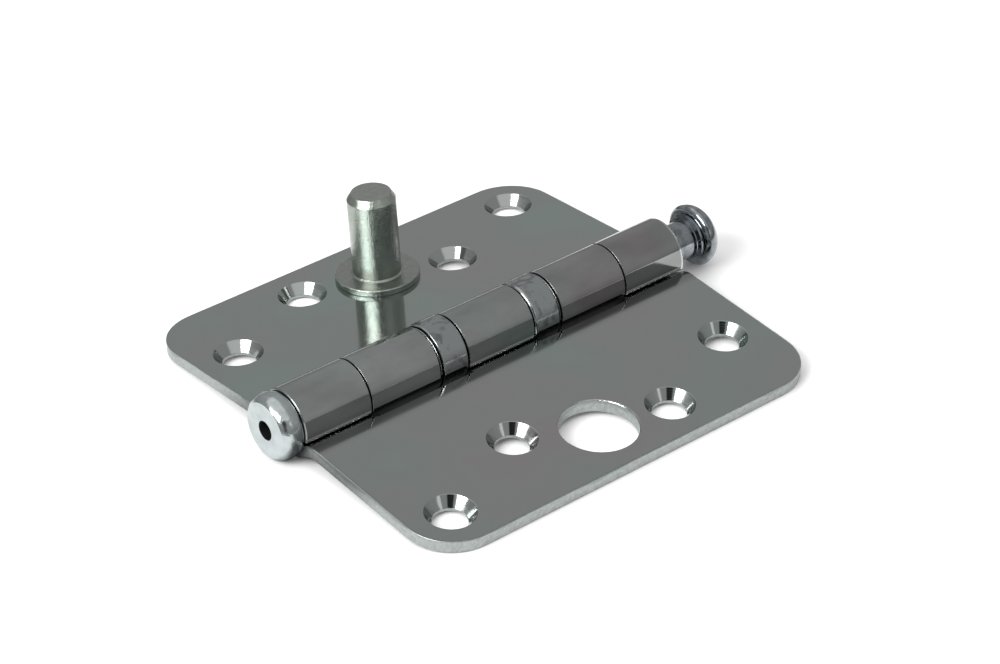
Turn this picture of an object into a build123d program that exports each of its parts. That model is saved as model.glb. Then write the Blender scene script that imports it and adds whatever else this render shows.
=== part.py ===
# Ball bearing hinge with a loose pin and a security stud, lying open on a surface.
# Millimetres. Z is up and z = 0 is the surface. Y runs along the pin, towards its head.
# +X is the side of the leaf with three knuckles, -X the side of the leaf with two.
# The origin is on the surface, under the middle of the whole hinge.
import os
from math import asin, atan2, cos, degrees, hypot, isclose, pi, radians, sin

from build123d import *

os.makedirs("parts", exist_ok=True)

# Leaves
leaf_length = 100.0
leaf_width = 50.0
plate_thickness = 2.8
closed_gap = 2.1
corner_radius = 10.8
top_edge_rounding = 0.15
underside_edge_rounding = 0.4

# Rolled knuckles and the double bend that leads to them
knuckle_radius = 7.1
roll_lead_in = 1.5
ramp_angle = 30.0
upper_bend_radius = 1.2
free_end_gap = 0.3
free_end_rounding = 0.2
bore_mouth_chamfer = 0.4
knuckle_edge_rounding = 0.12

# Layout along the barrel
end_knuckle_length = 16.2
middle_knuckle_length = 17.06
bearing_space = 7.67
knuckle_side_gap = 0.4
notch_clearance = 1.3
notch_corner_radius = 0.8

# Screw holes, four to a leaf in a zigzag
screw_hole_radius = 3.6
countersink_radius = 5.3
countersink_angle = 75.0
screw_hole_rounding = 0.15
outer_row_inset = 9.55
inner_row = 30.1
end_screw_inset = 9.7
middle_screw_offset = 16.35

# Security stud and the hole that it enters
stud_row = 35.4
security_hole_offset = 2.0
security_hole_clearance = 3.0
security_hole_rounding = 0.3
stud_radius = 5.25
stud_height = 20.35
stud_chamfer_width = 0.95
stud_chamfer_height = 1.45
stud_foot_radius = 5.65
stud_foot_height = 0.35
stud_collar_radius = 9.15
stud_collar_clearance = 0.75
stud_collar_rounding = 0.35
stud_collar_lower_rounding = 0.15
stud_tail_radius = 4.0
press_clearance = 0.02

# Pin
pin_clearance = 0.08
pin_pulled_out = 5.7
pin_seat_gap = 0.3
pin_small_ring_width = 0.4
pin_small_ring_length = 0.75
pin_large_ring_width = 1.05
pin_large_ring_length = 0.65
pin_groove_depth = 0.35
pin_groove_width = 0.2
pin_head_width = 2.6
pin_head_length = 5.5
pin_head_back_length = 1.0
pin_tip_chamfer = 1.0
pin_tip_gap = 0.5

# End cap
cap_overhang = 0.1
cap_rim_inset = 0.5
cap_shoulder_inset = 0.48
cap_face_inset = 1.2
cap_length = 4.6
cap_belly_distance = 1.6
cap_shoulder_length = 0.8
cap_seat_gap = 0.3
cap_shank_length = 6.0
cap_shank_chamfer = 0.5
punch_hole_radius = 2.05

# Ball bearings
bearing_seat_gap = 0.3
shell_wall = 0.6
shell_bend_radius = 0.7
shell_lip_gap = 0.65
shell_lip_rounding = 0.25
race_wall = 0.075
race_rim_inset = 0.4
race_rim_rounding = 0.15
race_clearance = 0.3
race_bore_clearance = 0.35
ball_radius = 0.9
ball_clearance = 0.05
ball_count = 18
ball_gap = 0.1
race_face_offset = 0.45

# Derived sizes
half_length = leaf_length / 2
half_gap = closed_gap / 2
bore_radius = knuckle_radius - plate_thickness
underside = half_gap + plate_thickness
pin_radius = bore_radius - pin_clearance
outer_row = leaf_width - outer_row_inset
end_screw_offset = half_length - end_screw_inset
security_hole_row = stud_row + security_hole_offset
security_hole_radius = stud_radius + security_hole_clearance
through_depth = 2 * plate_thickness

# The balls roll as near the pin as the races allow, or further out where they need a longer track.
groove_radius = ball_radius + ball_clearance
race_bore = bore_radius + race_bore_clearance
balls_side_by_side = (ball_radius + ball_gap / 2) / sin(pi / ball_count)
ball_track_radius = max(race_bore + race_wall + groove_radius, balls_side_by_side)
shell_bore = ball_track_radius + groove_radius + race_wall
bearing_radius = shell_bore + shell_wall

# Sizes that follow the barrel
notch_depth = bearing_radius + notch_clearance
race_rim_radius = bearing_radius - race_rim_inset
cap_radius = knuckle_radius + cap_overhang
cap_rim_radius = cap_radius - cap_rim_inset
cap_shoulder_radius = cap_radius - cap_shoulder_inset
cap_face_radius = cap_radius - cap_face_inset
pin_small_ring_radius = bore_radius + pin_small_ring_width
pin_large_ring_radius = bore_radius + pin_large_ring_width
pin_head_radius = bore_radius + pin_head_width

# The hinge rests on its bearings and on the outer edges of both leaves, so the leaves droop.
axis_height = max(bearing_radius, cap_radius, knuckle_radius)
droop = asin(axis_height / hypot(leaf_width, underside)) - atan2(underside, leaf_width)

# Distances from the middle of the barrel to the faces of the knuckles
middle_face = middle_knuckle_length / 2
inner_face = middle_face + bearing_space
end_face = half_length - end_knuckle_length
outer_face = end_face - knuckle_side_gap

# Reach of the pin and of the cap past the barrel, which sets the middle of the hinge
pin_ring_start = half_length + pin_seat_gap + pin_pulled_out
pin_head_start = pin_ring_start + pin_small_ring_length + pin_large_ring_length
pin_reach = pin_head_start + pin_head_length
cap_reach = half_length + cap_seat_gap + cap_length
barrel_y = (cap_reach - pin_reach) / 2

pin_axis = Axis((0, barrel_y, axis_height), (0, 1, 0))

# Plane through the pin axis. Its x runs along the pin and its y is the distance from the axis.
barrel_plane = Plane(origin=(0, barrel_y, axis_height), x_dir=(0, 1, 0), z_dir=(1, 0, 0))


def leaf_face(side):
    """Upper face of a leaf. x runs from the pin to the outer edge; side is 1 for +X and -1 for -X."""
    across = (side * cos(droop), 0, -sin(droop))
    upwards = (side * sin(droop), 0, cos(droop))
    foot = (-upwards[0] * half_gap, barrel_y, axis_height - upwards[2] * half_gap)
    return Plane(origin=foot, x_dir=across, z_dir=upwards)


def leaf_end(side):
    """Plane of a leaf's end. x runs to the outer edge, y to the upper face, and z out of the leaf."""
    across = (side * cos(droop), 0, -sin(droop))
    end = (0, barrel_y - side * half_length, axis_height)
    return Plane(origin=end, x_dir=across, z_dir=(0, -side, 0))


def leaf_section(side):
    """Section of a whole leaf: flat plate, upper bend, ramp, lower bend and rolled knuckle."""
    ramp = radians(ramp_angle)
    bend_height = -underside - upper_bend_radius
    ramp_length = (bend_height + (upper_bend_radius + knuckle_radius) * cos(ramp)) / sin(ramp)
    bend_x = roll_lead_in + (knuckle_radius + upper_bend_radius) * sin(ramp) + ramp_length * cos(ramp)
    outer_bend_radius = upper_bend_radius + plate_thickness
    bend = Vector(bend_x, bend_height)
    ramp_normal = Vector(-sin(ramp), cos(ramp))
    lower_bend = Vector(roll_lead_in, 0)
    free_end_turn = ramp + asin((free_end_gap - bore_radius - roll_lead_in * sin(ramp)) / knuckle_radius)
    free_end = Vector(cos(free_end_turn), sin(free_end_turn))
    free_end_angle = degrees(free_end_turn)
    with BuildSketch(leaf_end(side)) as section:
        with BuildLine():
            Line((leaf_width, -underside), (leaf_width, -half_gap))
            Line((leaf_width, -half_gap), (bend_x, -half_gap))
            CenterArc((bend_x, bend_height), outer_bend_radius, 90, ramp_angle)
            Line(bend + ramp_normal * outer_bend_radius, lower_bend - ramp_normal * bore_radius)
            CenterArc((roll_lead_in, 0), bore_radius, -90, ramp_angle)
            Line((roll_lead_in, -bore_radius), (0, -bore_radius))
            CenterArc((0, 0), bore_radius, free_end_angle, 270 - free_end_angle)
            Line(free_end * bore_radius, free_end * knuckle_radius)
            CenterArc((0, 0), knuckle_radius, free_end_angle, 270 - free_end_angle)
            Line((0, -knuckle_radius), (roll_lead_in, -knuckle_radius))
            CenterArc((roll_lead_in, 0), knuckle_radius, -90, ramp_angle)
            Line(lower_bend - ramp_normal * knuckle_radius, bend + ramp_normal * upper_bend_radius)
            CenterArc((bend_x, bend_height), upper_bend_radius, 90, ramp_angle)
            Line((bend_x, -underside), (leaf_width, -underside))
        make_face()
        fillet(section.vertices().sort_by_distance(free_end * knuckle_radius)[0], free_end_rounding)
    return section.sketch


def knuckle_rims(edges):
    """Outer edges at the ends of knuckles."""
    circles = edges.filter_by(GeomType.CIRCLE)
    return circles.filter_by(lambda edge: isclose(edge.radius, knuckle_radius))


def screw_hole_rims(leaf, face):
    """The edges of the countersinks and of the holes under them, from the last cut of a leaf."""
    circles = leaf.edges(Select.LAST).filter_by(GeomType.CIRCLE)
    circles = circles.sort_by(lambda edge: face.to_local_coords(edge.arc_center).Z)
    return circles[len(screw_points) :]


screw_points = [
    (outer_row, -end_screw_offset),
    (inner_row, -middle_screw_offset),
    (outer_row, middle_screw_offset),
    (inner_row, end_screw_offset),
]

# Plan of a leaf with its two rounded corners, from past the barrel to the outer edge
outline_width = leaf_width + 2 * knuckle_radius
outline_middle = leaf_width - outline_width / 2
outline_height = 2 * axis_height

# Widths that cut the barrel out between the knuckles of one leaf
notch_width = notch_depth + 2 * knuckle_radius
notch_middle = notch_depth - notch_width / 2
notch_length = outer_face + knuckle_side_gap - middle_face
notch_offset = middle_face + notch_length / 2

# Leaf with three knuckles, one at each end of the barrel and one in its middle.
# Its two notches take the other leaf's knuckles and both bearings.
front = leaf_face(1)
with BuildPart() as leaf_three_knuckle:
    extrude(leaf_section(1), leaf_length, dir=(0, 1, 0))
    with BuildSketch(front) as front_outline:
        with Locations((outline_middle, 0)):
            Rectangle(outline_width, leaf_length)
        fillet(front_outline.vertices().group_by(Axis.X)[-1], corner_radius)
    extrude(amount=outline_height, both=True, mode=Mode.INTERSECT)
    front_faces = leaf_three_knuckle.faces().filter_by(front).sort_by(SortBy.AREA)[-2:]
    front_underside, front_top = front_faces.sort_by(Axis.Z)
    fillet(front_top.edges().sort_by(Axis.X)[1:], top_edge_rounding)
    fillet(front_underside.edges().sort_by(Axis.X)[1:], underside_edge_rounding)
    with BuildSketch(front):
        with Locations((notch_middle, -notch_offset), (notch_middle, notch_offset)):
            RectangleRounded(notch_width, notch_length, notch_corner_radius)
    extrude(amount=outline_height, both=True, mode=Mode.SUBTRACT)
    fillet(knuckle_rims(leaf_three_knuckle.edges(Select.LAST)), knuckle_edge_rounding)
    for end in (-1, 1):
        barrel_end = Plane(origin=(0, barrel_y + end * half_length, axis_height), z_dir=(0, -end, 0))
        with BuildSketch(barrel_end):
            Circle(bore_radius + bore_mouth_chamfer)
        extrude(amount=bore_mouth_chamfer, taper=45, mode=Mode.SUBTRACT)
    with Locations(front.location):
        with Locations(*screw_points):
            CounterSinkHole(screw_hole_radius, countersink_radius, through_depth, countersink_angle)
    fillet(screw_hole_rims(leaf_three_knuckle, front), screw_hole_rounding)
    with Locations(front.location):
        with Locations((security_hole_row, 0)):
            Hole(security_hole_radius, through_depth)
    hole_rims = leaf_three_knuckle.edges(Select.LAST).filter_by(GeomType.CIRCLE)
    fillet(hole_rims.sort_by(Axis.Z)[-1], security_hole_rounding)
leaf_three_knuckle.part.label = "leaf_three_knuckle"
export_step(leaf_three_knuckle.part, "parts/leaf_three_knuckle.step")

# Leaf with two knuckles. Between them it is cut back for the middle knuckle and both bearings,
# and at both ends for the end knuckles. A plain hole holds the tail of the stud.
back = leaf_face(-1)
with BuildPart() as leaf_two_knuckle:
    extrude(leaf_section(-1), leaf_length, dir=(0, -1, 0))
    with BuildSketch(back) as back_outline:
        with Locations((outline_middle, 0)):
            Rectangle(outline_width, leaf_length)
        fillet(back_outline.vertices().group_by(Axis.X)[-1], corner_radius)
    extrude(amount=outline_height, both=True, mode=Mode.INTERSECT)
    back_faces = leaf_two_knuckle.faces().filter_by(back).sort_by(SortBy.AREA)[-2:]
    back_underside, back_top = back_faces.sort_by(Axis.Z)
    fillet(back_top.edges().sort_by(Axis.X)[:-1], top_edge_rounding)
    fillet(back_underside.edges().sort_by(Axis.X)[:-1], underside_edge_rounding)
    with BuildSketch(back):
        with Locations((notch_middle, 0)):
            RectangleRounded(notch_width, 2 * inner_face, notch_corner_radius)
        with Locations((notch_middle, -half_length), (notch_middle, half_length)):
            RectangleRounded(notch_width, 2 * (half_length - outer_face), notch_corner_radius)
    extrude(amount=outline_height, both=True, mode=Mode.SUBTRACT)
    fillet(knuckle_rims(leaf_two_knuckle.edges(Select.LAST)), knuckle_edge_rounding)
    with Locations(back.location):
        with Locations(*screw_points):
            CounterSinkHole(screw_hole_radius, countersink_radius, through_depth, countersink_angle)
    fillet(screw_hole_rims(leaf_two_knuckle, back), screw_hole_rounding)
    with Locations(back.location):
        with Locations((stud_row, 0)):
            Hole(stud_tail_radius, through_depth)
leaf_two_knuckle.part.label = "leaf_two_knuckle"
export_step(leaf_two_knuckle.part, "parts/leaf_two_knuckle.step")

# Security stud. Its collar lies on the leaf, its tail fills the hole below and ends flush underneath.
stud_collar_thickness = closed_gap - stud_collar_clearance
stud_plane = Plane(origin=back.from_local_coords((stud_row, 0, 0)), x_dir=back.x_dir, z_dir=-back.y_dir)
stud_tail = stud_tail_radius - press_clearance
with BuildPart() as security_stud:
    with BuildSketch(stud_plane) as stud_profile:
        with BuildLine():
            Polyline(
                (0, -plate_thickness),
                (stud_tail, -plate_thickness),
                (stud_tail, 0),
                (stud_collar_radius, 0),
                (stud_collar_radius, stud_collar_thickness),
                (stud_foot_radius, stud_collar_thickness),
                (stud_radius, stud_collar_thickness + stud_foot_height),
                (stud_radius, stud_height - stud_chamfer_height),
                (stud_radius - stud_chamfer_width, stud_height),
                (0, stud_height),
                close=True,
            )
        make_face()
        collar_rim = (stud_collar_radius, stud_collar_thickness)
        fillet(stud_profile.vertices().sort_by_distance(collar_rim)[0], stud_collar_rounding)
        collar_foot = (stud_collar_radius, 0)
        fillet(stud_profile.vertices().sort_by_distance(collar_foot)[0], stud_collar_lower_rounding)
    revolve(axis=Axis(stud_plane.origin, back.z_dir))
security_stud.part.label = "security_stud"
export_step(security_stud.part, "parts/security_stud.step")

# Loose pin. A mushroom head with two rings under it; the pin stands pulled out a little way,
# and its tip clears the end cap when the pin is pushed home.
pin_tip = -half_length + cap_shank_length + pin_tip_gap + pin_pulled_out
head_back = pin_head_start + pin_groove_width
head_middle = head_back + pin_head_back_length
head_top = pin_head_start + pin_head_length
head_rounding = pin_head_radius - pin_large_ring_radius
with BuildPart() as hinge_pin:
    with BuildSketch(barrel_plane):
        with BuildLine():
            Polyline(
                (head_top, 0),
                (pin_tip, 0),
                (pin_tip, pin_radius - pin_tip_chamfer),
                (pin_tip + pin_tip_chamfer, pin_radius),
                (pin_ring_start, pin_radius),
                (pin_ring_start, pin_small_ring_radius),
                (pin_ring_start + pin_small_ring_length, pin_small_ring_radius),
                (pin_ring_start + pin_small_ring_length, pin_large_ring_radius),
                (pin_head_start, pin_large_ring_radius),
                (pin_head_start, pin_large_ring_radius - pin_groove_depth),
                (head_back, pin_large_ring_radius - pin_groove_depth),
                (head_back, pin_large_ring_radius),
            )
            EllipticalCenterArc(
                (head_middle, pin_large_ring_radius),
                pin_head_back_length,
                head_rounding,
                start_angle=90,
                arc_size=90,
            )
            EllipticalCenterArc(
                (head_middle, 0), head_top - head_middle, pin_head_radius, start_angle=0, arc_size=90
            )
        make_face()
    revolve(axis=pin_axis)
hinge_pin.part.label = "hinge_pin"
export_step(hinge_pin.part, "parts/hinge_pin.step")

# End cap, pressed into the first knuckle. A punch goes through its hole to drive the pin out.
cap_seat = -half_length - cap_seat_gap
cap_shank_radius = bore_radius - press_clearance
with BuildPart() as end_cap:
    with BuildSketch(barrel_plane):
        with BuildLine():
            Polyline(
                (cap_seat - cap_length, cap_face_radius),
                (cap_seat - cap_length, punch_hole_radius),
                (-half_length + cap_shank_length, punch_hole_radius),
                (-half_length + cap_shank_length, cap_shank_radius - cap_shank_chamfer),
                (-half_length + cap_shank_length - cap_shank_chamfer, cap_shank_radius),
                (cap_seat, cap_shank_radius),
                (cap_seat, cap_rim_radius),
            )
            Spline(
                (cap_seat, cap_rim_radius),
                (cap_seat - cap_belly_distance, cap_radius),
                (cap_seat - cap_length + cap_shoulder_length, cap_shoulder_radius),
                (cap_seat - cap_length, cap_face_radius),
            )
        make_face()
    revolve(axis=pin_axis)
end_cap.part.label = "end_cap"
export_step(end_cap.part, "parts/end_cap.step")

# Ball bearings. In each one a pressed shell holds the upper race, and the rim of the lower race shows
# in the shell's open end. Both shells have their closed end at the middle knuckle.
bearing_length = bearing_space - 2 * bearing_seat_gap
race_depth = (bearing_length - shell_lip_gap - shell_wall - 2 * race_face_offset) / 2
bearing_start = inner_face - bearing_seat_gap
for number, start, way in ((1, -bearing_start, 1), (2, bearing_start, -1)):
    shell_end = start + way * bearing_length
    shell_floor = shell_end - way * shell_wall
    shell_start = start + way * shell_lip_gap
    rim_end = shell_start - way * race_clearance
    lower_race_end = shell_start + way * race_depth
    ball_centre = lower_race_end + way * race_face_offset
    upper_race_start = ball_centre + way * race_face_offset

    with BuildPart() as shell:
        with BuildSketch(barrel_plane) as shell_profile:
            with BuildLine():
                Polyline(
                    (shell_start, shell_bore),
                    (shell_start, bearing_radius),
                    (shell_end, bearing_radius),
                    (shell_end, race_bore),
                    (shell_floor, race_bore),
                    (shell_floor, shell_bore),
                    close=True,
                )
            make_face()
            shell_lip = (shell_start, bearing_radius)
            fillet(shell_profile.vertices().sort_by_distance(shell_lip)[0], shell_lip_rounding)
            shell_bend = (shell_end, bearing_radius)
            fillet(shell_profile.vertices().sort_by_distance(shell_bend)[0], shell_bend_radius)
        revolve(axis=pin_axis)
    shell.part.label = f"bearing_{number}_shell"
    export_step(shell.part, f"parts/bearing_{number}_shell.step")

    with BuildPart() as upper_race:
        with BuildSketch(barrel_plane):
            with BuildLine():
                Polyline(
                    (upper_race_start, race_bore),
                    (upper_race_start, shell_bore),
                    (shell_floor, shell_bore),
                    (shell_floor, race_bore),
                    close=True,
                )
            make_face()
            with Locations((ball_centre, ball_track_radius)):
                Circle(groove_radius, mode=Mode.SUBTRACT)
        revolve(axis=pin_axis)
    upper_race.part.label = f"bearing_{number}_upper_race"
    export_step(upper_race.part, f"parts/bearing_{number}_upper_race.step")

    with BuildPart() as lower_race:
        with BuildSketch(barrel_plane) as race_profile:
            with BuildLine():
                Polyline(
                    (start, race_bore),
                    (start, race_rim_radius),
                    (rim_end, race_rim_radius),
                    (rim_end, shell_bore - race_clearance),
                    (lower_race_end, shell_bore - race_clearance),
                    (lower_race_end, race_bore),
                    close=True,
                )
            make_face()
            fillet(race_profile.vertices().group_by(Axis.Y)[-1], race_rim_rounding)
            with Locations((ball_centre, ball_track_radius)):
                Circle(groove_radius, mode=Mode.SUBTRACT)
        revolve(axis=pin_axis)
    lower_race.part.label = f"bearing_{number}_lower_race"
    export_step(lower_race.part, f"parts/bearing_{number}_lower_race.step")

    for index in range(ball_count):
        turn = 2 * pi * index / ball_count
        ball_x = ball_track_radius * sin(turn)
        ball_z = axis_height + ball_track_radius * cos(turn)
        with BuildPart(Plane(origin=(ball_x, barrel_y + ball_centre, ball_z))) as ball:
            Sphere(ball_radius)
        ball.part.label = f"bearing_{number}_ball_{index + 1:02d}"
        export_step(ball.part, f"parts/bearing_{number}_ball_{index + 1:02d}.step")

print("droop", round(degrees(droop), 4), "axis height", axis_height, "barrel middle", round(barrel_y, 4))
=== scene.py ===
from math import cos, radians, sin

import bpy
from mathutils import Matrix, Vector

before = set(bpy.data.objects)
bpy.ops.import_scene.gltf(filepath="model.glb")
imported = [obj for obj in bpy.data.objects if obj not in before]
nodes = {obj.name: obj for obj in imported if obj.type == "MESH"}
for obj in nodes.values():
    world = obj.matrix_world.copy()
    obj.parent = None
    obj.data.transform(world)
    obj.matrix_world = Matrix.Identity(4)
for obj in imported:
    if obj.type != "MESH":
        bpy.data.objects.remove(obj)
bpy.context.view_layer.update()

# The sheet that the hinge lies on: smooth white paper, which the camera sees white round the hinge's
# shadow. Bright metal sees it with painted light: evenly lit round the hinge, with painted shade
# under the barrel, and painted darkening far away.
MM = 0.001
WHITE, BLACK = (1, 1, 1, 1), (0, 0, 0, 1)
SMOOTH = {"interpolation_type": "SMOOTHSTEP"}
PAPER = "#F4F4F4"
SHEET_SIZE = 6
# Metres from the middle between which painted shade darkens the sheet for the metal, and its painted
# light before and past them. The sides count as further away than the barrel's ends.
DARKENS, PAINTED_SHEET_LIGHT, SIDE_STRETCH = (0.084, 0.160), (1.0, 0.18), 1.5
# Metres to the side of the barrel within which painted shade dims the sheet, its painted light there
# and beyond, and past its ends where there is no painted shade
BARREL_SIDE, PAINTED_LIGHT_BY_BARREL = (0.018, 0.045), (0.12, 1.0)
BARREL_ENDS = ((-0.056, -0.060), (0.044, 0.050))
# Metres from the middle between which the sheet begins to glow, so that its far part stays white
GLOWS, GLOW = (0.078, 0.160), (0.05, 0.6)


def linear(code):
    """Linear colour of an sRGB hex code."""
    channels = [int(code[i : i + 2], 16) / 255 for i in (1, 3, 5)]
    return [c / 12.92 if c <= 0.04045 else ((c + 0.055) / 1.055) ** 2.4 for c in channels] + [1]


def add(tree, kind, inputs=(), tones=(), **settings):
    """A node with its settings and a ramp's tones. Its inputs, in order or by name, are set, or
    linked to a socket or to the first output in use of another node."""
    node = tree.nodes.new("ShaderNode" + kind)
    for name, value in settings.items():
        setattr(node, name, value)
    if tones:
        stops = node.color_ramp.elements
        stops.remove(stops[1])
        stops[0].position, stops[0].color = tones[0]
        for position, colour in tones[1:]:
            stops.new(position).color = colour
    for socket, source in inputs.items() if isinstance(inputs, dict) else enumerate(inputs):
        if isinstance(source, bpy.types.Node):
            source = next(output for output in source.outputs if output.enabled)
        if isinstance(source, bpy.types.NodeSocket):
            tree.links.new(source, node.inputs[socket])
        else:
            node.inputs[socket].default_value = source
    return node


def finish_named(name):
    """A new material with an empty node tree, and that tree."""
    material = bpy.data.materials.new(name)
    material.use_nodes = True
    material.node_tree.nodes.clear()
    return material, material.node_tree


sheet, tree = finish_named("white_paper_sheet")
path = add(tree, "LightPath").outputs
seen = path["Is Camera Ray"]
for ray in ("Is Glossy Ray", "Is Transmission Ray"):
    seen = add(tree, "Math", (seen, path[ray]), operation="MAXIMUM")
where = add(tree, "TexCoord").outputs["Object"]
away = add(tree, "VectorMath", (where,), operation="LENGTH")
split = add(tree, "SeparateXYZ", (where,)).outputs
sideways = add(tree, "Math", (split["X"],), operation="ABSOLUTE")
sideways = add(tree, "Math", (sideways, SIDE_STRETCH), operation="MULTIPLY")
# Painted light for the metal: the sheet darkens far away from the hinge
light = add(tree, "Math", (away, sideways), operation="MAXIMUM")
light = add(tree, "MapRange", (light, *DARKENS, *PAINTED_SHEET_LIGHT), **SMOOTH)
# Painted shade on the sheet under the barrel, for the metal's reflections
clear = add(tree, "MapRange", (sideways, *BARREL_SIDE, *PAINTED_LIGHT_BY_BARREL), **SMOOTH)
for inner, outer in BARREL_ENDS:
    past = add(tree, "MapRange", (split["Y"], inner, outer))
    clear = add(tree, "Math", (clear, past), operation="MAXIMUM")
light = add(tree, "Math", (light, clear), operation="MULTIPLY")
light = add(tree, "Math", (light, path["Is Camera Ray"]), operation="MAXIMUM")
tone = {"Factor": light, "A": BLACK, "B": linear(PAPER)}
paper = add(tree, "BsdfDiffuse", {"Color": add(tree, "Mix", tone, data_type="RGBA")})
glow = add(tree, "Math", (seen, light), operation="MULTIPLY")
far = add(tree, "MapRange", (away, *GLOWS, *GLOW), **SMOOTH)
glow = add(tree, "Math", (glow, far), operation="MULTIPLY")
glow = add(tree, "Emission", {"Color": WHITE, "Strength": glow})
both = add(tree, "AddShader", (paper, glow))
add(tree, "OutputMaterial", {"Surface": both})

bpy.ops.object.select_all(action="DESELECT")
bpy.ops.mesh.primitive_plane_add(size=SHEET_SIZE, location=(0, 0, 0))
floor = bpy.context.object
floor.name = "white_sheet"
floor.data.materials.append(sheet)

# The studio round it, as bright metal mirrors it: a grey room with a white ceiling on the near side,
# a narrow window to the right, and a dark camera on its stand in front. The camera sees it white.
SOFT_EDGE, IN_FRONT = 0.05, 0.3
# The grey room: heights, from 0 at the horizon to 1 overhead, and how bright it is there
ROOM_LEVELS = ((0.0, 0.33), (0.12, 0.40), (0.35, 0.48), (1.0, 0.49))
CEILING_SIDE, CEILING_HEIGHT = (0.38, 0.20), (0.60, 0.72)
# Azimuth in degrees, half the width in full and faded out, lowest and highest height, and brightness
WINDOW = (13, 0.07, 0.12, 0.30, 0.52, 1.25)
CAMERA_STAND = (-36, 0.17, 0.25, -0.1, 0.62, 0.09)
CAMERA_BODY = (-36, 0.17, 0.25, 0.43, 0.62, 0.03)
# Heights between which more of the room's light falls on dull surfaces, and how much
DULL_HEIGHT, DULL_LIGHT = (0.0, 0.8), (0.3, 1.5)
world = bpy.data.worlds.new("studio")
bpy.context.scene.world = world
world.use_nodes = True
tree = world.node_tree
tree.nodes.clear()
path = add(tree, "LightPath").outputs
where = add(tree, "TexCoord").outputs["Generated"]
split = add(tree, "SeparateXYZ", (where,)).outputs
levels = [(height, (level, level, level, 1)) for height, level in ROOM_LEVELS]
room = add(tree, "ValToRGB", (split["Z"],), tones=levels)
near_side = add(tree, "MapRange", (split["Y"], *CEILING_SIDE), **SMOOTH)
overhead = add(tree, "MapRange", (split["Z"], *CEILING_HEIGHT), **SMOOTH)
ceiling = add(tree, "Math", (near_side, overhead), operation="MULTIPLY")
room = add(tree, "Mix", {"Factor": ceiling, "A": room, "B": WHITE}, data_type="RGBA")
for azimuth, inner, outer, bottom, top, level in (WINDOW, CAMERA_STAND, CAMERA_BODY):
    ahead = Vector((cos(radians(azimuth)), sin(radians(azimuth)), 0))
    beside = Vector((-ahead.y, ahead.x, 0))
    front = add(tree, "VectorMath", (where, ahead), operation="DOT_PRODUCT")
    front = add(tree, "Math", (front, IN_FRONT), operation="GREATER_THAN")
    spot = add(tree, "VectorMath", (where, beside), operation="DOT_PRODUCT")
    spot = add(tree, "Math", (spot,), operation="ABSOLUTE")
    spot = add(tree, "MapRange", (spot, outer, inner), **SMOOTH)
    above = add(tree, "MapRange", (split["Z"], bottom - SOFT_EDGE, bottom + SOFT_EDGE), **SMOOTH)
    below = add(tree, "MapRange", (split["Z"], top + SOFT_EDGE, top - SOFT_EDGE), **SMOOTH)
    for part in (front, above, below):
        spot = add(tree, "Math", (spot, part), operation="MULTIPLY")
    patch = {"Factor": spot, "A": room, "B": (level, level, level, 1)}
    room = add(tree, "Mix", patch, data_type="RGBA")
dull = add(tree, "MapRange", (split["Z"], *DULL_HEIGHT, *DULL_LIGHT))
strength = add(tree, "Mix", {"Factor": path["Is Diffuse Ray"], "A": 1.0, "B": dull})
mirrored = add(tree, "Background", {"Color": room, "Strength": strength})
white = add(tree, "Background", {"Color": WHITE, "Strength": 1.0})
mixed = add(tree, "MixShader", (path["Is Camera Ray"], mirrored, white))
add(tree, "OutputWorld", {"Surface": mixed})

# The softbox: one rectangular lamp with a white cloth front, low at the near end of the pin and
# turned to the hinge. It gives the soft shadows and the bright side of the stud and countersinks.
SOFTBOX_PLACE, SOFTBOX_SIZE, SOFTBOX_WATTS = (0.065, -0.785, 0.64), (0.66, 0.42), 9.2
lamp = bpy.data.lights.new("softbox_at_the_near_end", "AREA")
lamp.shape = "RECTANGLE"
lamp.size, lamp.size_y = SOFTBOX_SIZE
lamp.energy = SOFTBOX_WATTS
softbox = bpy.data.objects.new("softbox_at_the_near_end", lamp)
bpy.context.scene.collection.objects.link(softbox)
softbox.location = SOFTBOX_PLACE
softbox.rotation_euler = (-Vector(SOFTBOX_PLACE)).to_track_quat("-Z", "Y").to_euler()

# The camera, where the photograph was taken from: a long lens two thirds of a metre away, looking
# down at 34 degrees and tilted by less than a degree.
AZIMUTH, ELEVATION, ROLL = radians(51.026), radians(33.553), radians(-0.656)
CAMERA_PLACE, LENS, SENSOR = Vector((425.365, -343.091, 367.907)) * MM, 113.766, 36
NEAREST, FURTHEST = 0.01, 20
back = Vector((sin(AZIMUTH) * cos(ELEVATION), -cos(AZIMUTH) * cos(ELEVATION), sin(ELEVATION)))
level_right = Vector((cos(AZIMUTH), sin(AZIMUTH), 0))
level_up = back.cross(level_right)
right = level_right * cos(ROLL) + level_up * sin(ROLL)
up = level_up * cos(ROLL) - level_right * sin(ROLL)
camera = bpy.data.objects.new("camera", bpy.data.cameras.new("camera"))
bpy.context.scene.collection.objects.link(camera)
turned = Matrix((right, up, back)).transposed().to_4x4()
turned.translation = CAMERA_PLACE
camera.matrix_world = turned
camera.data.lens, camera.data.sensor_width = LENS, SENSOR
camera.data.clip_start, camera.data.clip_end = NEAREST, FURTHEST
bpy.context.scene.camera = camera
bpy.context.scene.view_settings.view_transform = "Standard"

# The two leaves with their rolled knuckles: cold rolled steel strip, blanked, countersunk, cranked
# and rolled, then barrel plated with bright zinc. The plating is a soft mirror with faint green and
# pink patches. The sheared edges are duller, with torn grain, and the countersinks have turned rings.
BARREL = Vector((0, -4.0, 7.3)) * MM  # on the pin's axis, halfway along the leaves
DROOP = radians(3.9671)
ALONG = Vector((0, 1, 0))
# Where parts of a leaf begin and end, in millimetres across the leaf from the pin
ROLL_REACH = 7.6
RUB_ENDS = (8.0, 12.0)
CRANK_STARTS, CRANK_ENDS = (7.6, 7.9), (12.5, 9.5)
PLATE_STARTS = (13.0, 15.0)
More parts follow.
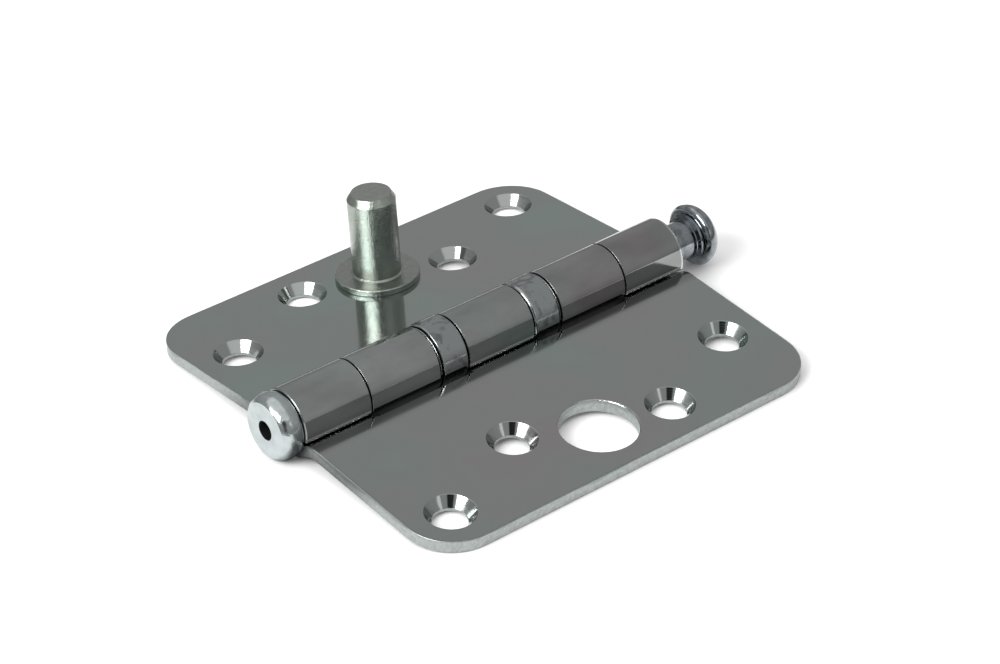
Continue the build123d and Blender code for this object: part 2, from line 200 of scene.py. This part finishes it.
# How much a surface faces up or endways, from 0 to 1, where it counts as sheared or countersunk
SHEARED_FACING, SUNK_FACING = (0.50, 0.30), (0.78, 0.68)
PLATE_END_STARTS, PLATE_END_FULL = 0.72, 0.9
ROLL_END_STARTS, ROLL_END_FULL = 0.12, 0.3
# How many of a pattern go into a metre: patches of 26 mm, waves of 8 mm, haze of 6 mm, rubbed places
# of 5 mm by 12 mm, torn borders that go up and down every 11 mm, and specks of 0.7 mm
PATCHES, WAVES, HAZE, RUBS, TORN_DEPTHS, SPECKS = 38.0, 130.0, 160.0, 190.0, 90.0, 1500.0
RUB_STRETCH = (1.0, 0.45, 1.0)
TORN_PER_MM = 1.3
NOISE_RANGE = (0.3, 0.7)  # nearly all the values of a noise pattern
# Tones: rubbed places, the barrel from 20 mm before its middle to 45 mm past it, and the painted
# shade on the crank
RUB_TONES, FADE_ALONG, FADE_TONES, PAINTED_CRANK_SHADE = (0.84, 1.08), (-20.0, 45.0), (1.03, 0.79), 0.22
# Millimetres by which the torn border goes up and down, and where the burnished part begins over it
TORN_SWAY, TORN_DEPTH, BURNISHED_FROM = 1.5, 5.0, (1.55, 1.75)
PLATING = (
    (0.30, linear("#9EABA6")),
    (0.45, linear("#A0A6A3")),
    (0.62, linear("#A3A5A4")),
    (0.72, linear("#A6A2A4")),
)
TORN_STEEL = ((0.30, linear("#969B99")), (0.70, linear("#ACB1AF")))
# The pale zinc for the barrel's far rim is a painted highlight
BURNISHED_STEEL, RIM_HIGHLIGHT_ZINC = linear("#8A908D"), linear("#E6E8E6")
PLATING_ROUGHNESS, TORN_ROUGHNESS, BURNISHED_ROUGHNESS = (0.07, 0.12), 0.42, 0.28
# Millimetres from the pin to the middles of the corners' curves, both ways, and from there to the
# border that keeps burrs, with how ragged it is
CORNER_MIDDLE, BURR_BORDER, BURR_SWAY = 39.2, (10.80, 10.86), 0.6
# Relief in millimetres, and the radians of a sine to a millimetre that put rings 0.45 mm apart
WAVE_HEIGHT, TEAR_HEIGHT, RING_HEIGHT, RING_RADIANS = 0.012, 0.03, 0.0012, 14.0
# The flat stretch of a roll: the angle of its middle, and the square of half its angle on the far
# side of the pin and on the leaf's own side. Its depth is in millimetres to a squared radian.
FLAT_MIDDLE, FLAT_BACK, FLAT_FRONT = 0.113, 0.060, 0.104
FLAT_DEPTH, FLAT_BLEND = 3.55, 0.02
# The free end of a roll: how far its tip is past the pin's level, round the curve, and the flare's
# width and height, in millimetres, then the torn spots beside the tip
ROLL_RADIUS, FREE_END, LIP_WIDTH, LIP_HEIGHT = 7.1, 1.5, 0.7, 0.17
TORN_SPECKS, TORN_PLACE, TORN_WIDTH, TORN_SHARE = (0.56, 0.62), -0.2, 0.25, 0.9
# The rounded far end of the barrel, in millimetres along the pin, and where a pale colour paints a
# highlight on it
FAR_RIM, RIM_DEPTH, PAINTED_RIM_HIGHLIGHT = (49.1, 50.0), 0.45, (0.02, 0.2)


def metal(tree, colour, roughness, relief=None):
    """Plated or polished metal of that colour and roughness, with its relief in millimetres."""
    inputs = {"Base Color": colour, "Metallic": 1.0, "Roughness": roughness}
    if relief:
        bump = {"Height": relief, "Distance": MM, "Strength": 1.0}
        inputs["Normal"] = add(tree, "Bump", bump)
    add(tree, "OutputMaterial", {"Surface": add(tree, "BsdfPrincipled", inputs)})


for name, side in (("leaf_three_knuckle", 1), ("leaf_two_knuckle", -1)):
    across = Vector((side * cos(DROOP), 0, -sin(DROOP)))
    upwards = Vector((side * sin(DROOP), 0, cos(DROOP)))
    zinc, tree = finish_named("bright_zinc_on_" + name)

    # Millimetres from the pin across the leaf, along the pin, and up from the pin's level
    surface = add(tree, "TexCoord").outputs
    where = surface["Object"]
    place = add(tree, "VectorMath", (where, BARREL), operation="SUBTRACT")
    reach, along, rise = (
        add(tree, "VectorMath", (place, way / MM), operation="DOT_PRODUCT")
        for way in (across, ALONG, upwards)
    )
    facing = add(tree, "VectorMath", (surface["Normal"], upwards), operation="DOT_PRODUCT")
    facing = add(tree, "Math", (facing,), operation="ABSOLUTE")
    endways = add(tree, "VectorMath", (surface["Normal"], ALONG), operation="DOT_PRODUCT")
    endways = add(tree, "Math", (endways,), operation="ABSOLUTE")

    # Where the surface was sheared, and where it was countersunk
    plate = add(tree, "MapRange", (reach, *PLATE_STARTS))
    upright = add(tree, "MapRange", (facing, *SHEARED_FACING))
    sheared = add(tree, "Math", (plate, upright), operation="MULTIPLY")
    rolled = add(tree, "Math", (reach, ROLL_REACH), operation="LESS_THAN")
    begins = add(tree, "Mix", {"Factor": rolled, "A": PLATE_END_STARTS, "B": ROLL_END_STARTS})
    full = add(tree, "Mix", {"Factor": rolled, "A": PLATE_END_FULL, "B": ROLL_END_FULL})
    end = add(tree, "MapRange", (endways, begins, full))
    sheared = add(tree, "Math", (sheared, end), operation="MAXIMUM")
    sloping = add(tree, "MapRange", (facing, *SUNK_FACING))
    sunk = add(tree, "Math", (plate, sloping), operation="MULTIPLY")
    sunk = add(tree, "Math", (sunk, sheared), operation="SUBTRACT", use_clamp=True)

    # Colour: patches on the plating, and torn steel on the sheared edges, burnished above a ragged
    # border
    noise = {"Vector": where, "Scale": PATCHES, "Detail": 1.5, "Roughness": 0.45}
    tint = add(tree, "ValToRGB", (add(tree, "TexNoise", noise),), tones=PLATING)
    torn = add(tree, "CombineXYZ", (reach, along))
    noise = {"Vector": torn, "Scale": TORN_PER_MM, "Detail": 4.0, "Roughness": 0.6}
    torn = add(tree, "TexNoise", noise)
    speck = add(tree, "TexNoise", {"Vector": where, "Scale": SPECKS, "Detail": 2.0})
    depth = add(tree, "TexNoise", {"Vector": where, "Scale": TORN_DEPTHS, "Detail": 0.5})
    border = add(tree, "Math", (torn, TORN_SWAY, rise), operation="MULTIPLY_ADD")
    border = add(tree, "Math", (depth, TORN_DEPTH, border), operation="MULTIPLY_ADD")
    burnished = add(tree, "MapRange", (border, *BURNISHED_FROM))
    edge_tint = add(tree, "ValToRGB", (speck,), tones=TORN_STEEL)
    edge_tint = {"Factor": burnished, "A": edge_tint, "B": BURNISHED_STEEL}
    edge_tint = add(tree, "Mix", edge_tint, data_type="RGBA")

    # The barrel has rubbed places and is darker towards its far end, and the crank has painted shade
    # beside the barrel
    rubs_and_painted_shade = add(tree, "Mapping", {"Vector": where, "Scale": RUB_STRETCH})
    rubs_and_painted_shade = add(tree, "TexNoise", {"Vector": rubs_and_painted_shade, "Scale": RUBS, "Detail": 3.0})
    rubs_and_painted_shade = add(tree, "MapRange", (rubs_and_painted_shade, *NOISE_RANGE, *RUB_TONES))
    unrubbed = add(tree, "MapRange", (reach, *RUB_ENDS))
    fade = add(tree, "MapRange", (along, *FADE_ALONG, *FADE_TONES))
    rubs_and_painted_shade = add(tree, "Math", (rubs_and_painted_shade, fade), operation="MULTIPLY")
    rubs_and_painted_shade = add(tree, "Mix", {"Factor": unrubbed, "A": rubs_and_painted_shade, "B": 1.0})
    # Painted shade: the crank is darkened next to the barrel
    painted_crank_shade = add(tree, "MapRange", (reach, *CRANK_STARTS))
    crank_end = add(tree, "MapRange", (reach, *CRANK_ENDS), **SMOOTH)
    painted_crank_shade = add(tree, "Math", (painted_crank_shade, crank_end), operation="MULTIPLY")
    rubs_and_painted_shade = add(tree, "Math", (painted_crank_shade, -PAINTED_CRANK_SHADE, rubs_and_painted_shade), operation="MULTIPLY_ADD")
    tint = add(tree, "VectorMath", {"Vector": tint, "Scale": rubs_and_painted_shade}, operation="SCALE")
    colour = {"Factor": sheared, "A": tint, "B": edge_tint}
    colour = add(tree, "Mix", colour, data_type="RGBA")

    # The top border of the plate keeps broken burrs
    wide = add(tree, "Math", (reach, CORNER_MIDDLE), operation="SUBTRACT")
    wide = add(tree, "Math", (wide, 0.0), operation="MAXIMUM")
    long = add(tree, "Math", (along,), operation="ABSOLUTE")
    long = add(tree, "Math", (long, CORNER_MIDDLE), operation="SUBTRACT")
    long = add(tree, "Math", (long, 0.0), operation="MAXIMUM")
    burr = add(tree, "CombineXYZ", (wide, long))
    burr = add(tree, "VectorMath", (burr,), operation="LENGTH")
    burr = add(tree, "Math", (speck, BURR_SWAY, burr), operation="MULTIPLY_ADD")
    burr = add(tree, "MapRange", (burr, *BURR_BORDER))
    burr = add(tree, "Math", (burr, plate), operation="MULTIPLY")

    # Gloss: a mirror that is duller on the sheared edges
    haze = add(tree, "TexNoise", {"Vector": where, "Scale": HAZE, "Detail": 3.0})
    haze = add(tree, "MapRange", (haze, *NOISE_RANGE, *PLATING_ROUGHNESS))
    dull = {"Factor": burnished, "A": TORN_ROUGHNESS, "B": BURNISHED_ROUGHNESS}
    dull = add(tree, "Mix", dull)
    rough = add(tree, "Math", (sheared, burr), operation="MAXIMUM")
    gloss = add(tree, "Mix", {"Factor": rough, "A": haze, "B": dull})

    # Relief: rolling waviness and tear marks
    waves = add(tree, "TexNoise", {"Vector": where, "Scale": WAVES, "Detail": 1.0})
    relief = add(tree, "Math", (waves, WAVE_HEIGHT), operation="MULTIPLY")
    tears = add(tree, "Math", (torn, speck), operation="ADD")
    tears = add(tree, "Math", (tears, rough), operation="MULTIPLY")
    relief = add(tree, "Math", (tears, TEAR_HEIGHT, relief), operation="MULTIPLY_ADD")

    # The strip isn't curved evenly in the roll: it runs flat for 4.5 mm up to its free end
    split = add(tree, "SeparateXYZ", (place,)).outputs
    outwards = add(tree, "Math", (split["X"], float(side)), operation="MULTIPLY")
    turn = add(tree, "Math", (split["Z"], outwards), operation="ARCTAN2")
    front = add(tree, "Math", (outwards, 0.0), operation="GREATER_THAN")
    sideways = add(tree, "Math", (split["X"],), operation="ABSOLUTE")
    slant = add(tree, "Math", (split["Z"], sideways), operation="ARCTAN2")
    slant = add(tree, "Math", (slant, FLAT_MIDDLE), operation="SUBTRACT")
    slant = add(tree, "Math", (slant, slant), operation="MULTIPLY")
    spread = add(tree, "Mix", {"Factor": front, "A": FLAT_BACK, "B": FLAT_FRONT})
    flat = add(tree, "Math", (spread, slant), operation="SUBTRACT")
    flat = add(tree, "Math", (flat, 0.0, FLAT_BLEND), operation="SMOOTH_MAX")
    flat = add(tree, "Math", (flat, rolled), operation="MULTIPLY")
    relief = add(tree, "Math", (flat, -FLAT_DEPTH, relief), operation="MULTIPLY_ADD")

    # The free end flares outwards over its last 0.7 mm, and is torn in places
    arc = add(tree, "Math", (turn, ROLL_RADIUS, FREE_END), operation="MULTIPLY_ADD")
    lip = add(tree, "MapRange", (arc, 0.0, LIP_WIDTH, 1.0, 0.0))
    torn_end = add(tree, "MapRange", (speck, *TORN_SPECKS))
    past_end = add(tree, "Math", (arc, TORN_PLACE, TORN_WIDTH), operation="COMPARE")
    torn_end = add(tree, "Math", (torn_end, past_end), operation="MULTIPLY")
    lip = add(tree, "Math", (torn_end, TORN_SHARE, lip), operation="MULTIPLY_ADD")
    for part in (front, rolled):
        lip = add(tree, "Math", (lip, part), operation="MULTIPLY")
    relief = add(tree, "Math", (lip, LIP_HEIGHT, relief), operation="MULTIPLY_ADD")

    # The far end of the barrel is rounded off over its last 0.9 mm, and a pale colour there paints a
    # highlight on it
    rim = add(tree, "MapRange", (along, *FAR_RIM))
    for part in (rim, rolled):
        rim = add(tree, "Math", (rim, part), operation="MULTIPLY")
    relief = add(tree, "Math", (rim, -RIM_DEPTH, relief), operation="MULTIPLY_ADD")
    # Painted highlight: the rim is coloured pale
    rim_highlight = add(tree, "MapRange", (rim, *PAINTED_RIM_HIGHLIGHT))
    colour = {"Factor": rim_highlight, "A": colour, "B": RIM_HIGHLIGHT_ZINC}
    colour = add(tree, "Mix", colour, data_type="RGBA")

    # The countersinks' turned rings
    rings = add(tree, "Math", (rise, RING_RADIANS), operation="MULTIPLY")
    rings = add(tree, "Math", (rings,), operation="SINE")
    rings = add(tree, "Math", (rings, sunk), operation="MULTIPLY")
    relief = add(tree, "Math", (rings, RING_HEIGHT, relief), operation="MULTIPLY_ADD")
    metal(tree, colour, gloss, relief)
    nodes[name].material_slots[0].material = zinc

# The security stud: turned from bar with its collar, plated and pressed into its leaf from above.
# Its plating is grey with a little green, grainy, and mottled from tumbling; its collar is darker.
STUD_ZINC = ((0.32, linear("#9DA29C")), (0.68, linear("#A8ADA6")))
STUD_MOTTLES, STUD_GRAINS = 1000.0, 2700.0  # to a metre: 1 mm and 0.37 mm wide
STUD_MOTTLE_HEIGHT, STUD_GRAIN_HEIGHT, STUD_ROUGHNESS = 0.014, 0.10, 0.13
COLLAR_TOP, COLLAR_TONES = (0.0062, 0.0072), (0.85, 1.0)
stud_zinc, tree = finish_named("tumbled_zinc_on_the_stud")
where = add(tree, "TexCoord").outputs["Object"]
mottle = add(tree, "TexNoise", {"Vector": where, "Scale": STUD_MOTTLES, "Detail": 4.0})
tint = add(tree, "ValToRGB", (mottle,), tones=STUD_ZINC)
height = add(tree, "SeparateXYZ", (where,)).outputs["Z"]
collar = add(tree, "MapRange", (height, *COLLAR_TOP, *COLLAR_TONES))
tint = add(tree, "VectorMath", {"Vector": tint, "Scale": collar}, operation="SCALE")
noise = {"Vector": where, "Scale": STUD_GRAINS, "Detail": 2.0, "Roughness": 0.6}
grain = add(tree, "TexNoise", noise)
relief = add(tree, "Math", (grain, STUD_GRAIN_HEIGHT), operation="MULTIPLY")
relief = add(tree, "Math", (mottle, STUD_MOTTLE_HEIGHT, relief), operation="MULTIPLY_ADD")
metal(tree, tint, STUD_ROUGHNESS, relief)
nodes["security_stud"].material_slots[0].material = stud_zinc

# The loose pin: a headed steel pin with two rings under its mushroom head, turned and zinc plated.
# The plating is bluish and cloudy, with faint turning marks round it.
PIN_ZINC = ((0.32, linear("#777C80")), (0.68, linear("#A3A8AC")))
PIN_CLOUDS, PIN_TURNINGS = 500.0, 2500.0  # to a metre: 2 mm and 0.4 mm wide
PIN_CLOUD_HEIGHT, PIN_TURNING_HEIGHT, PIN_ROUGHNESS = 0.03, 0.003, 0.10
pin_zinc, tree = finish_named("blue_zinc_on_the_pin")
where = add(tree, "TexCoord").outputs["Object"]
cloud = add(tree, "TexNoise", {"Vector": where, "Scale": PIN_CLOUDS, "Detail": 4.0})
tint = add(tree, "ValToRGB", (cloud,), tones=PIN_ZINC)
along = add(tree, "SeparateXYZ", (where,)).outputs["Y"]
noise = {"W": along, "Scale": PIN_TURNINGS, "Detail": 1.0}
turning = add(tree, "TexNoise", noise, noise_dimensions="1D")
relief = add(tree, "Math", (turning, PIN_TURNING_HEIGHT), operation="MULTIPLY")
relief = add(tree, "Math", (cloud, PIN_CLOUD_HEIGHT, relief), operation="MULTIPLY_ADD")
metal(tree, tint, PIN_ROUGHNESS, relief)
nodes["hinge_pin"].material_slots[0].material = pin_zinc

# The end cap: a turned steel plug pressed into the first knuckle, with a hole for the punch.
# Its plating is the palest, slightly dented, and the inside of the hole is dark and dull.
CAP_ZINC, HOLE_GREY = ((0.32, linear("#A9B1B2")), (0.68, linear("#BBC2C2"))), linear("#3A3B3C")
CAP_DENTS, CAP_DENT_HEIGHT = 420.0, 0.16  # to a metre: 2.4 mm wide
CAP_ROUGHNESS, HOLE_ROUGHNESS, HOLE_RADIUS = 0.18, 0.6, 2.15 * MM
cap_zinc, tree = finish_named("pale_zinc_on_the_cap")
where = add(tree, "TexCoord").outputs["Object"]
dents = add(tree, "TexNoise", {"Vector": where, "Scale": CAP_DENTS, "Detail": 3.0})
tint = add(tree, "ValToRGB", (dents,), tones=CAP_ZINC)
place = add(tree, "VectorMath", (where, BARREL), operation="SUBTRACT")
place = add(tree, "VectorMath", (place, (1, 0, 1)), operation="MULTIPLY")
middle = add(tree, "VectorMath", (place,), operation="LENGTH")
inside = add(tree, "Math", (middle, HOLE_RADIUS), operation="LESS_THAN")
colour = add(tree, "Mix", {"Factor": inside, "A": tint, "B": HOLE_GREY}, data_type="RGBA")
gloss = add(tree, "Mix", {"Factor": inside, "A": CAP_ROUGHNESS, "B": HOLE_ROUGHNESS})
relief = add(tree, "Math", (dents, CAP_DENT_HEIGHT), operation="MULTIPLY")
metal(tree, colour, gloss, relief)
nodes["end_cap"].material_slots[0].material = cap_zinc

# The two ball bearings: deep drawn shells and ground races, zinc plated, with a ring of hardened
# balls inside. The plating is a neutral grey with darker smudges from handling, and the balls are a
# clear mirror.
SHELL_ZINC = ((0.36, linear("#808384")), (0.48, linear("#A2A6A6")))
SMUDGES, SMUDGE_HEIGHT = 300.0, 0.012  # to a metre: 3.3 mm wide
SMUDGE_RANGE, SHELL_ROUGHNESS = (0.3, 0.6), (0.2, 0.1)
BALL_STEEL = ((0.35, linear("#BEBFC1")), (0.65, linear("#CBCCCD")))
OIL_SPOTS, BALL_ROUGHNESS, BALLS = 900.0, (0.05, 0.1), 18  # to a metre: 1.1 mm wide
shell_zinc, tree = finish_named("drawn_zinc_on_the_bearings")
where = add(tree, "TexCoord").outputs["Object"]
noise = {"Vector": where, "Scale": SMUDGES, "Detail": 5.0, "Distortion": 1.2}
smudge = add(tree, "TexNoise", noise)
tint = add(tree, "ValToRGB", (smudge,), tones=SHELL_ZINC)
gloss = add(tree, "MapRange", (smudge, *SMUDGE_RANGE, *SHELL_ROUGHNESS))
relief = add(tree, "Math", (smudge, SMUDGE_HEIGHT), operation="MULTIPLY")
metal(tree, tint, gloss, relief)

ball_steel, tree = finish_named("polished_ball_steel")
where = add(tree, "TexCoord").outputs["Object"]
oil = add(tree, "TexNoise", {"Vector": where, "Scale": OIL_SPOTS, "Detail": 2.0})
tint = add(tree, "ValToRGB", (oil,), tones=BALL_STEEL)
gloss = add(tree, "MapRange", (oil, *NOISE_RANGE, *BALL_ROUGHNESS))
metal(tree, tint, gloss)
for number in (1, 2):
    for piece in ("shell", "upper_race", "lower_race"):
        nodes[f"bearing_{number}_{piece}"].material_slots[0].material = shell_zinc
    for index in range(1, BALLS + 1):
        nodes[f"bearing_{number}_ball_{index:02d}"].material_slots[0].material = ball_steel
